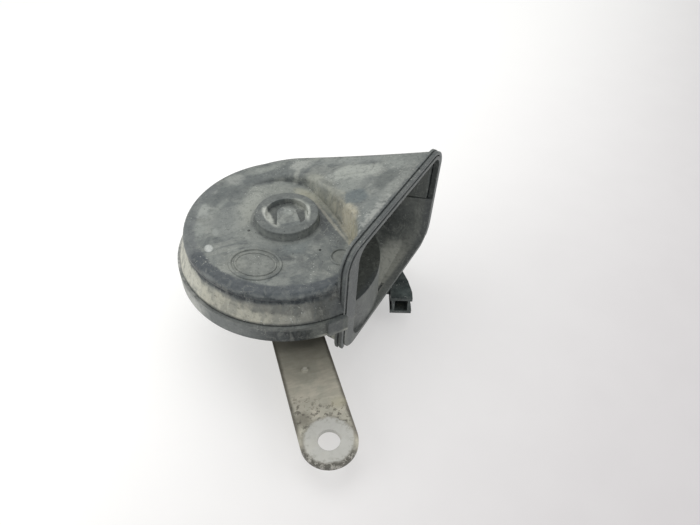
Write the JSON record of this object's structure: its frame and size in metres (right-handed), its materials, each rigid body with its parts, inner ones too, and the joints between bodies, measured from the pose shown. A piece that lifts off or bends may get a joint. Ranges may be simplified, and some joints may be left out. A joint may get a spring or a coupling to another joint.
{
  "type": "car horn",
  "caption": "Snail-trumpet electric car horn: round ring and face, side hood that opens into a wide rounded bell mouth, drive pot, plug socket and flat steel mounting strip.",
  "frame": {"origin": "centre of the mounting strip's hole, on the strip's underside", "axes": "+Z from the strip to the horn, -Y from the horn towards the strip's rounded end, +X to the side that the bell's mouth opens to"},
  "size_m": [0.1092, 0.1263, 0.0706],
  "materials": {
    "shell_plastic": "moulded black plastic, greyed and dusty",
    "gasket": "dark fibre-filled gasket sheet",
    "plated_steel": "zinc-plated steel",
    "spring_steel": "rolled spring steel",
    "coated_steel": "black-coated pressed steel",
    "bobbin_plastic": "natural glass-filled nylon",
    "enamelled_wire": "copper wire with amber enamel",
    "terminal_brass": "dull brass strip",
    "contact_alloy": "dark contact alloy",
    "insulator": "brown laminated insulating board",
    "resistor_ceramic": "pale fired ceramic",
    "connector_plastic": "black glass-filled nylon",
    "strip_steel": "zinc-plated strip, dulled brown-grey and spotted with corrosion"
  },
  "bodies": {
    "root": {"upper_shell": "shell_plastic", "lower_shell": "shell_plastic", "trumpet_gasket": "gasket", "clamp_ring": "plated_steel", "diaphragm": "spring_steel", "diaphragm_gasket": "gasket", "pot": "coated_steel", "pole_core": "plated_steel", "armature": "plated_steel", "armature_washer": "spring_steel", "coil_bobbin": "bobbin_plastic", "coil_winding": "enamelled_wire", "fixed_contact_arm": "terminal_brass", "moving_contact_arm": "spring_steel", "fixed_contact": "contact_alloy", "moving_contact": "contact_alloy", "insulator_low": "insulator", "insulator_middle": "insulator", "insulator_top": "insulator", "breaker_rivets": "plated_steel", "adjusting_screw": "plated_steel", "resistor": "resistor_ceramic", "connector_housing": "connector_plastic", "terminal_live": "terminal_brass", "terminal_ground": "terminal_brass", "connector_rivet": "plated_steel", "bracket": "strip_steel", "spring_washer": "plated_steel", "stud_nut": "plated_steel"}
  },
  "joints": []
}
